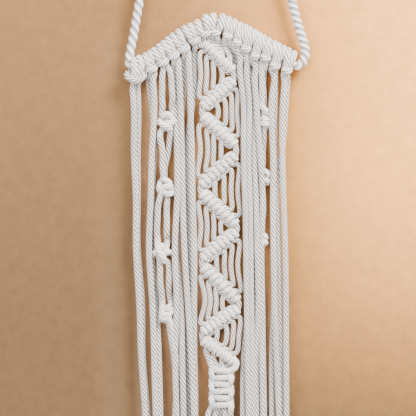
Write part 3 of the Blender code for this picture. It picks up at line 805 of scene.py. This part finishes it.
def hitch(bar, index):
    """A double half hitch of cord `index` on a bar: two and a half turns round the leading cord."""
    x0, drop0, x1, drop1 = bar
    travel = np.array([x1 - x0, drop1 - drop0])
    travel /= np.linalg.norm(travel)
    down = np.array([-travel[1], travel[0]])
    if down[1] < 0:
        down = -down
    shares = ((2 * index + 0.5) / BAR_WRAPS, (2 * index + 1.5) / BAR_WRAPS)
    if x1 < x0:
        shares = shares[::-1]
    first, second = (on_bar(bar, 0.5 + (share - 0.5) * BAR_SPREAD) for share in shares)
    r = BAR_TURN_RADIUS
    rows = []

    def add(base, lower, depth, radius=BAR_CORD, relief=BAR_RELIEF):
        point = base + down * lower
        rows.append((point[0], point[1], BAR_DEPTH + depth, radius, relief))

    ahead = (second - first) / 4
    add(first - ahead, -r * 1.1, r * 0.7)
    add(first - ahead, r * 0.2, r * 1.05)
    add(first - ahead * 0.4, r, 0.0)
    add(first, 0.0, -r * 1.05)
    add(first + ahead * 0.4, -r, 0.0)
    add(first + ahead * 1.6, 0.0, r * 1.05)
    add(second - ahead * 0.6, r, 0.0)
    add(second, 0.0, -r * 1.05)
    add(second + ahead * 0.4, -r, 0.0)
    add(second + ahead * 0.4, 0.2 * r, r * 1.1)
    add(second + ahead * 0.2, r * 1.5, r * 0.9, TAUT_CORD, 1.0)
    return rows


def zigzag_cord(index, feed):
    """A working cord's way through all the bars."""
    aside, below, behind = BAR_LEAVING
    rows = list(feed)
    for k, bar in enumerate(BARS):
        rows += hitch(bar, index)
        if k + 1 < len(BARS):
            turns_right = bar[2] > bar[0]
            share = (AFTER_RIGHT_TURN if turns_right else AFTER_LEFT_TURN)[index]
            side = -1.0 if turns_right else 1.0
            upper = on_bar(bar, share) + np.array([side * aside, below])
            lower = on_bar(BARS[k + 1], share) + np.array([side * aside, -below])
            x = BETWEEN_BARS[k][index]
            rows.append((upper[0], upper[1], BAR_DEPTH + behind, TAUT_CORD))
            rows.append((x, (upper[1] + lower[1]) / 2, BAR_DEPTH + behind / 2, TAUT_CORD))
            rows.append((lower[0], lower[1], BAR_DEPTH + behind, TAUT_CORD))
    return rows


def leader(feed):
    """The leading cord's way: through every bar and round each turn."""
    swing, turn_radius = LEADER_TURN
    rows = list(feed)
    for k, (x0, drop0, x1, drop1) in enumerate(BARS):
        for share in LEADER_SHARES:
            radius = LEADER_AT_END if share in (0.0, 1.0) else LEADER_IN_BAR
            rows.append((x0 + (x1 - x0) * share, drop0 + (drop1 - drop0) * share, BAR_DEPTH, radius))
        if k + 1 < len(BARS):
            x2, drop2 = BARS[k + 1][:2]
            outward = math.copysign(swing, x1 - ZIGZAG_MIDDLE)
            rows.append(((x1 + x2) / 2 + outward, (drop1 + drop2) / 2, BAR_DEPTH, turn_radius))
    return rows


def tyer(turns):
    """A tying cord of the braid, whose turns change sides from one knot to the next."""
    rows = []
    for k, level in enumerate(BRAID_LEVELS):
        side = 1 if k % 2 == 0 else -1
        rows += [
            (BRAID_MIDDLE + side * across, level + down, depth, BRAID_CORD, KNOT_RELIEF)
            for across, down, depth in turns
        ]
    return rows


def filler(which):
    """The way of a cord inside the braid."""
    x = TAIL_ENDS[which][0]
    return [
        (BRAID_MIDDLE + (x - BRAID_MIDDLE) * share, drop, BAR_DEPTH + FILLER_BEHIND, radius)
        for drop, share, radius in FILLER_ROWS
    ]


def tail(which):
    """A cord's way from the braid to its cut end."""
    x, end_x, depth = TAIL_ENDS[which]
    return [
        (x, TAIL_TOP, depth, CORD_RADIUS),
        ((2 * x + end_x) / 3, TAIL_BEND, depth, CORD_RADIUS),
        (end_x, cut_end(), depth, CORD_RADIUS),
    ]


# ---- materials ----

PAINTED_VALLEY_SHADE = (0.15, 0.105, 0.08, 1.0)  # painted shade between the plies, where little light gets in
CREST_COLOUR = (0.95, 0.93, 0.91, 1.0)
VALLEY_NARROWNESS = 3.4
RELIEF_POWER = 2.0  # how soon the painted valley shade grows pale as the plies are pulled tight
YARN_SLANT = 260.0  # yarns for each metre along the cord
FIBRES = (9.0, 90.0)  # around the cord, and for each metre along it
SPOT_SCALE = 55.0
TONE_PARTS = (0.5, 0.5, 0.08)  # of fibres, spots and yarns
HEIGHT_PARTS = (0.35, 1.2)  # of yarns and fibres


def cotton(name, plies, yarns):
    """Matt cotton: painted shade, dark and warm, in the valleys between plies, with fine yarns and loose
    fibres.
    """
    material = bpy.data.materials.new(name)
    material.use_nodes = True
    tree = material.node_tree
    nodes, links = tree.nodes, tree.links
    shader = nodes["Principled BSDF"]
    shader.inputs["Roughness"].default_value = 0.88
    shader.inputs["Metallic"].default_value = 0.0
    shader.inputs["Specular IOR Level"].default_value = 0.25
    shader.inputs["Sheen Weight"].default_value = 0.25
    shader.inputs["Sheen Roughness"].default_value = 0.5

    def math_node(kind, *values):
        node = nodes.new("ShaderNodeMath")
        node.operation = kind
        for socket, value in zip(node.inputs, values):
            if isinstance(value, (int, float)):
                socket.default_value = value
            else:
                links.new(value, socket)
        return node.outputs[0]

    uv = nodes.new("ShaderNodeUVMap")
    uv.uv_map = "lay"
    split = nodes.new("ShaderNodeSeparateXYZ")
    links.new(uv.outputs[0], split.inputs[0])
    around, along = split.outputs[0], split.outputs[1]

    ply = math_node("FRACT", math_node("MULTIPLY", around, float(plies)))
    crest = math_node("SINE", math_node("MULTIPLY", ply, math.pi))  # 0 in a valley, 1 on a crest

    slanted = math_node(
        "ADD",
        math_node("MULTIPLY", around, float(plies * yarns)),
        math_node("MULTIPLY", along, YARN_SLANT),
    )
    yarn = math_node("SINE", math_node("MULTIPLY", slanted, 2 * math.pi))

    place = nodes.new("ShaderNodeCombineXYZ")
    links.new(math_node("MULTIPLY", around, FIBRES[0]), place.inputs[0])
    links.new(math_node("MULTIPLY", along, FIBRES[1]), place.inputs[1])
    fibres = nodes.new("ShaderNodeTexNoise")
    fibres.inputs["Scale"].default_value = 8.0
    fibres.inputs["Detail"].default_value = 4.0
    fibres.inputs["Roughness"].default_value = 0.65
    links.new(place.outputs[0], fibres.inputs["Vector"])

    where = nodes.new("ShaderNodeTexCoord")
    spots = nodes.new("ShaderNodeTexNoise")
    spots.inputs["Scale"].default_value = SPOT_SCALE
    spots.inputs["Detail"].default_value = 2.0
    links.new(where.outputs["Object"], spots.inputs["Vector"])

    # painted shade: the colour runs from the dark valley colour between the plies to the crest colour,
    # paler where the plies are pulled tight
    shade = nodes.new("ShaderNodeMix")
    shade.data_type = "RGBA"
    shade.inputs["A"].default_value = PAINTED_VALLEY_SHADE
    shade.inputs["B"].default_value = CREST_COLOUR
    valley = math_node("SUBTRACT", 1.0, math_node("POWER", crest, VALLEY_NARROWNESS))
    tightness = math_node("FLOOR", math_node("DIVIDE", around, 2.0))
    relief = math_node("SUBTRACT", 1.0, math_node("DIVIDE", tightness, float(TIGHTNESS_LEVELS)))
    shaded = math_node("MULTIPLY", valley, math_node("POWER", relief, RELIEF_POWER))
    links.new(math_node("SUBTRACT", 1.0, shaded), shade.inputs["Factor"])
    tone = nodes.new("ShaderNodeMix")
    tone.data_type = "RGBA"
    tone.blend_type = "MULTIPLY"
    tone.inputs["Factor"].default_value = 1.0
    links.new(shade.outputs["Result"], tone.inputs["A"])
    ramp = nodes.new("ShaderNodeMapRange")
    ramp.inputs["From Min"].default_value = 0.3
    ramp.inputs["From Max"].default_value = 0.7
    ramp.inputs["To Min"].default_value = 0.8
    ramp.inputs["To Max"].default_value = 1.08
    mixed = math_node(
        "ADD",
        math_node("MULTIPLY", fibres.outputs[0], TONE_PARTS[0]),
        math_node("MULTIPLY", spots.outputs[0], TONE_PARTS[1]),
    )
    mixed = math_node("ADD", mixed, math_node("MULTIPLY", yarn, TONE_PARTS[2]))
    links.new(mixed, ramp.inputs["Value"])
    links.new(ramp.outputs[0], tone.inputs["B"])
    links.new(tone.outputs["Result"], shader.inputs["Base Color"])

    height = math_node(
        "ADD",
        math_node("MULTIPLY", yarn, HEIGHT_PARTS[0]),
        math_node("MULTIPLY", fibres.outputs[0], HEIGHT_PARTS[1]),
    )
    bump = nodes.new("ShaderNodeBump")
    bump.inputs["Strength"].default_value = 0.7
    bump.inputs["Distance"].default_value = 0.00026
    links.new(height, bump.inputs["Height"])
    links.new(bump.outputs[0], shader.inputs["Normal"])
    return material


def one_sided(name):
    """A matt material that lets the camera look through from behind, for the stage."""
    material = bpy.data.materials.new(name)
    material.use_nodes = True
    nodes, links = material.node_tree.nodes, material.node_tree.links
    shader = nodes["Principled BSDF"]
    shader.inputs["Roughness"].default_value = 0.9
    shader.inputs["Specular IOR Level"].default_value = 0.2
    side = nodes.new("ShaderNodeNewGeometry")
    clear = nodes.new("ShaderNodeBsdfTransparent")
    mix = nodes.new("ShaderNodeMixShader")
    links.new(side.outputs["Backfacing"], mix.inputs["Fac"])
    links.new(shader.outputs[0], mix.inputs[1])
    links.new(clear.outputs[0], mix.inputs[2])
    links.new(mix.outputs[0], nodes["Material Output"].inputs["Surface"])
    return material


def wall_paint():
    """Tan paint with painted window light: lighter to the right and the top, where the window light falls.
    """
    material = one_sided("tan wall")
    nodes, links = material.node_tree.nodes, material.node_tree.links
    where = nodes.new("ShaderNodeTexCoord")
    split = nodes.new("ShaderNodeSeparateXYZ")
    links.new(where.outputs["Object"], split.inputs[0])

    def share(axis, none, full):
        """0 on one side of a fade and 1 on the other."""
        node = nodes.new("ShaderNodeMapRange")
        node.interpolation_type = "SMOOTHSTEP"
        node.inputs["From Min"].default_value = none
        node.inputs["From Max"].default_value = full
        links.new(split.outputs[axis], node.inputs["Value"])
        return node.outputs[0]

    def mix(factor, a, b, blend="MIX"):
        node = nodes.new("ShaderNodeMix")
        node.data_type = "RGBA"
        node.blend_type = blend
        for socket, value in (("Factor", factor), ("A", a), ("B", b)):
            if isinstance(value, float):
                node.inputs[socket].default_value = value
            elif isinstance(value, tuple):
                node.inputs[socket].default_value = (*value, 1.0)
            else:
                links.new(value, node.inputs[socket])
        return node.outputs["Result"]

    left = mix(share("Z", *LEFT_FADE), WALL_COLOURS[2], WALL_COLOURS[0])
    right = mix(share("Z", *RIGHT_FADE), WALL_COLOURS[3], WALL_COLOURS[1])
    wide = mix(share("X", *ACROSS_FADE), left, right)
    mottling = nodes.new("ShaderNodeTexNoise")
    mottling.inputs["Scale"].default_value = MOTTLING_SCALE
    mottling.inputs["Detail"].default_value = 5.0
    mottling.inputs["Roughness"].default_value = 0.7
    links.new(where.outputs["Object"], mottling.inputs["Vector"])
    unevenness = nodes.new("ShaderNodeMapRange")
    unevenness.inputs["From Min"].default_value = 0.25
    unevenness.inputs["From Max"].default_value = 0.75
    unevenness.inputs["To Min"].default_value = 1 - UNEVENNESS
    unevenness.inputs["To Max"].default_value = 1 + UNEVENNESS
    links.new(mottling.outputs[0], unevenness.inputs["Value"])
    paint = mix(1.0, wide, unevenness.outputs[0], "MULTIPLY")

    # painted light and shade: each patch multiplies the paint by its gain
    for fades, gain in PAINTED_LIGHT_AND_SHADE_PATCHES:
        inside = share(*fades[0])
        for fade in fades[1:]:
            both = nodes.new("ShaderNodeMath")
            both.operation = "MULTIPLY"
            links.new(inside, both.inputs[0])
            links.new(share(*fade), both.inputs[1])
            inside = both.outputs[0]
        paint = mix(1.0, paint, mix(inside, (1.0, 1.0, 1.0), gain), "MULTIPLY")
    links.new(paint, nodes["Principled BSDF"].inputs["Base Color"])
    return material


# ---- pieces ----


def rope_route():
    """The rope: from inside the header up the left leg, over the hook and down the right leg."""
    left, right = np.array(LEFT_LEG[0]), np.array(RIGHT_LEG[0])
    meeting = np.array(MEETING)
    to_left = (left - meeting) / np.linalg.norm(left - meeting)
    to_right = (right - meeting) / np.linalg.norm(right - meeting)
    half = math.acos(to_left @ to_right) / 2
    halfway = (to_left + to_right) / np.linalg.norm(to_left + to_right)
    centre = meeting + halfway * LOOP_RADIUS / math.sin(half)
    reach = LOOP_RADIUS / math.tan(half)
    touches = [meeting + to_left * reach, meeting + to_right * reach]
    start = math.atan2(centre[1] - touches[0][1], touches[0][0] - centre[0]) % (2 * math.pi)
    end = math.atan2(centre[1] - touches[1][1], touches[1][0] - centre[0])
    rows = [(x, drop, 0.0, *INNER_ROPE) for x, drop, _ in HEADER[2:9]][::-1]
    rows += [(*row, LEFT_ENTRY_TURN) for row in LEFT_ENTRY]
    rows += [(x, drop, 0.0, LOW_LEFT_RADIUS, LEFT_ROPE[1]) for x, drop in LEFT_LEG[::-1]]
    for i in range(1, LEG_STEPS):
        rows.append((*(left + (touches[0] - left) * i / LEG_STEPS), 0.0, *LEFT_ROPE))
    for i in range(LOOP_STEPS + 1):
        angle = start + (end - start) * i / LOOP_STEPS
        x = centre[0] + LOOP_RADIUS * math.cos(angle)
        drop = centre[1] - LOOP_RADIUS * math.sin(angle)
        rows.append((x, drop, 0.0, *LOOP_ROPE))
    for i in range(1, LEG_STEPS):
        rows.append((*(touches[1] + (right - touches[1]) * i / LEG_STEPS), 0.0, *RIGHT_ROPE))
    rows += [(x, drop, 0.0, *RIGHT_ROPE) for x, drop in RIGHT_LEG]
    rows += [(*row, RIGHT_ROPE[1]) for row in RIGHT_ENTRY]
    rows += [(x, drop, 0.0, *INNER_ROPE) for x, drop, _ in HEADER[9:19]][::-1]
    return [(*row, ROPE_RELIEF) for row in rows]


def far_left_head(left_way, right_way):
    """The slack lark's head at the left end, whose bight hangs open in front."""

    def wrap(top, side, bottom_x, way):
        x, drop = top
        wound = [
            (x + side * 0.6, drop + 10.2, 2.6, 2.3),
            (x, drop + 5.0, 4.6, 2.4),
            (x - 0.3, drop + 1.2, 3.2, 2.4),
            (x, drop - 0.2, 0.0, 2.5),
            (x + 0.6, drop + 1.8, -3.6, 2.5),
            (x + 1.4, drop + 6.0, -4.6, 2.5),
            (bottom_x, drop + 10.4, -3.4, 2.3),
            (bottom_x, drop + 13.4, -1.8, 2.1),
        ]
        return [(*row, HEAD_RELIEF) for row in wound] + [(*way[0][:3], CORD_RADIUS)]

    left = wrap((-54.6, 31.6), -1, -53.9, left_way)
    right = wrap((-50.6, 30.4), 1, -50.8, right_way)
    bight = [
        (-56.4, 40.2, 1.0, 2.1),
        (-58.3, 40.4, -2.6, 2.0),
        (-58.3, 41.9, -4.6, 2.0),
        (-55.8, 44.0, -5.6, 2.0),
        (-52.4, 45.1, -5.9, 2.0),
        (-49.2, 44.0, -5.6, 2.0),
        (-47.4, 41.6, -4.2, 2.0),
        (-47.8, 40.0, -0.6, 2.1),
    ]
    return left_way[:0:-1] + left[::-1] + bight + right + right_way[1:]


def build():
    cord = cotton("cotton cord", CORD_LAY["plies"], CORD_YARNS)
    rope = cotton("cotton rope", ROPE_LAY["plies"], ROPE_YARNS)
    heads = {row[0]: row for row in HEADS}

    def head(name, left_way, right_way):
        """The cord of a lark's head, between two ways or two side cords."""
        ways = [hanging(way) if isinstance(way, str) else way for way in (left_way, right_way)]
        return lark_head(heads[name], *ways)

    hanger = Strands()
    hanger.lay(rope_route(), **ROPE_LAY)
    hanger.piece("hanging_rope", rope, ["hanger_top", "hanger_left", "hanger_right"])

    left = Strands()
    left.cord(far_left_head(hanging("left_1"), hanging("left_2")))
    left.cord(head("head_1", "left_3", "left_4"))
    pair = [tied(LEFT_PAIR, which, LEFT_KNOTS, LEFT_PAIR_RADIUS) for which in (1, 2)]
    left.cord(head("head_2", *pair))
    left.cord(head("head_3", "left_7", "left_8"))
    left.cord(head("head_4", "left_9", "left_10"))
    left.piece("left_cords", cord, ["header_and_cords"])

    inner = Strands()
    inner.cord(head("head_8", "right_1", "right_2"))
    inner.cord(head("head_9", "right_3", "right_4"))
    inner.cord(head("head_10", "right_5", "right_6"))
    inner.piece("inner_right_cords", cord, ["header_and_cords"])

    outer = Strands()
    pair = [tied(RIGHT_PAIR, which, RIGHT_KNOTS, RIGHT_PAIR_RADIUS) for which in (1, 2)]
    outer.cord(head("head_11", "right_7", "right_8"))
    outer.cord(head("head_12", *pair))
    outer.cord(head("head_13", "right_9", "right_10"))
    outer.cord(head("head_14", "right_11", "right_12"))
    outer.piece("outer_right_cords", cord, ["header_and_cords"])

    zigzag = Strands()
    lead = leader([LEADER_START]) + INTO_BRAID[4] + filler(3) + tail(3)
    ways = [
        zigzag_cord(index, [start]) + INTO_BRAID[index] for index, start in enumerate(ZIGZAG_STARTS)
    ]
    ways[0] += tyer(FRONT_TYER) + tail(0)
    ways[1] += filler(1) + tail(1)
    ways[2] += filler(2) + tail(2)
    ways[3] += tyer(BACK_TYER) + tail(4)
    zigzag.cord(head("head_5", "left_11", lead))
    zigzag.cord(head("head_6", ways[0], ways[1]))
    zigzag.cord(head("head_7", ways[2], ways[3]))
    zigzag.piece("zigzag_cords", cord, ["zigzag_panel", "header_and_cords"])


# ---- stage ----

WALL_BEHIND = 0.0088  # the origin; lengths here are in metres
# Painted light and shade on the wall: behind and beside the hanging, patches of paler paint lift the
# cords' shadows and stand for the light that the cords throw on it; the last patch paints the wall darker
# to the right of the hanging.
PAINTED_LIGHT_AND_SHADE_PATCHES = (  # where a patch fades out and where it is full, on each side, and its gain
    (
        (("X", -0.046, -0.036), ("X", 0.016, -0.014), ("Z", -0.225, -0.245), ("Z", -0.51, -0.48)),
        (2.15, 2.25, 2.75),
    ),
    (
        (("X", -0.020, -0.004), ("X", 0.036, 0.028), ("Z", -0.33, -0.40), ("Z", -0.51, -0.48)),
        (1.33, 1.3, 1.3),
    ),
    (
        (("X", -0.020, -0.004), ("X", 0.016, 0.006), ("Z", -0.33, -0.37), ("Z", -0.43, -0.40)),
        (1.2, 1.3, 1.7),
    ),
    (
        (("X", 0.008, 0.016), ("X", 0.036, 0.028), ("Z", -0.36, -0.42), ("Z", -0.51, -0.48)),
        (1.2, 1.3, 1.7),
    ),
    (
        (("X", 0.030, 0.036), ("X", 0.050, 0.046), ("Z", -0.29, -0.43), ("Z", -0.51, -0.48)),
        (1.8, 2.1, 3.3),
    ),
    (
        (("X", -0.078, -0.048), ("X", -0.034, -0.044), ("Z", -0.190, -0.235), ("Z", -0.54, -0.50)),
        (1.18, 1.25, 1.38),
    ),
    (
        (("X", 0.046, 0.056), ("X", 0.095, 0.062), ("Z", -0.205, -0.245), ("Z", -0.42, -0.36)),
        (0.86, 0.88, 0.79),
    ),
)
WALL_COLOURS = (  # painted window light across the wall: upper left, upper right, lower left, lower right
    (0.190, 0.094, 0.0335),
    (0.73, 0.320, 0.080),
    (0.112, 0.061, 0.0255),
    (0.122, 0.066, 0.0240),
)
PHOTO_CENTRE = (0.00458, -0.32480)  # x and z of the photo's centre
PHOTO_WIDTH = 0.2704
CAMERA_AWAY = 1.2
LEFT_FADE = (-0.43, -0.13)  # from the lower to the upper colour
RIGHT_FADE = (-0.50, -0.28)
ACROSS_FADE = (-0.06, 0.16)
MOTTLING_SCALE = 130.0
UNEVENNESS = 0.14
FLOOR_COLOUR = (0.72, 0.69, 0.65, 1.0)
HALF_WIDTH, FRONT, FLOOR, CEILING = 1.2, -2.2, -1.0, 0.8  # of the stage
LIGHTS = [  # name, place, size, power, colour
    ("key", (0.50, -0.62, 0.38), 0.62, 50.0, (1.0, 0.985, 0.96)),
    ("fill", (-0.5, -1.3, 0.0), 1.0, 33.0, (0.98, 0.985, 1.0)),
]
ROOM_COLOUR, ROOM_LIGHT = (1.0, 0.955, 0.92, 1.0), 0.72
SENSOR = 36.0  # mm


def look_at(obj, target):
    obj.rotation_euler = (Vector(target) - obj.location).to_track_quat("-Z", "Y").to_euler()


def soft_light(name, location, size, power, colour, target):
    data = bpy.data.lights.new(name, "AREA")
    data.shape = "DISK"
    data.size = size
    data.energy = power
    data.color = colour
    light = bpy.data.objects.new(name, data)
    bpy.context.scene.collection.objects.link(light)
    light.location = location
    look_at(light, target)


def sheet(name, corners, material):
    mesh = bpy.data.meshes.new(name)
    mesh.from_pydata(corners, [], [(0, 1, 2, 3)])
    mesh.materials.append(material)
    obj = bpy.data.objects.new(name, mesh)
    bpy.context.scene.collection.objects.link(obj)


def stage():
    back = [(-HALF_WIDTH, WALL_BEHIND, FLOOR), (HALF_WIDTH, WALL_BEHIND, FLOOR)]
    front = [(-HALF_WIDTH, FRONT, FLOOR), (HALF_WIDTH, FRONT, FLOOR)]
    above = [(HALF_WIDTH, WALL_BEHIND, CEILING), (-HALF_WIDTH, WALL_BEHIND, CEILING)]
    sheet("wall", back + above, wall_paint())
    floor = one_sided("pale floor")
    floor.node_tree.nodes["Principled BSDF"].inputs["Base Color"].default_value = FLOOR_COLOUR
    sheet("floor", front + back[::-1], floor)

    centre = (PHOTO_CENTRE[0], 0.0, PHOTO_CENTRE[1])
    for light in LIGHTS:
        soft_light(*light, centre)

    world = bpy.data.worlds.new("studio")
    bpy.context.scene.world = world
    world.use_nodes = True
    background = world.node_tree.nodes["Background"]
    background.inputs["Color"].default_value = ROOM_COLOUR
    background.inputs["Strength"].default_value = ROOM_LIGHT

    data = bpy.data.cameras.new("camera")
    data.sensor_width = SENSOR
    data.lens = SENSOR * CAMERA_AWAY / PHOTO_WIDTH
    camera = bpy.data.objects.new("camera", data)
    bpy.context.scene.collection.objects.link(camera)
    camera.location = (PHOTO_CENTRE[0], -CAMERA_AWAY, PHOTO_CENTRE[1])
    look_at(camera, centre)
    bpy.context.scene.camera = camera


build()
stage()
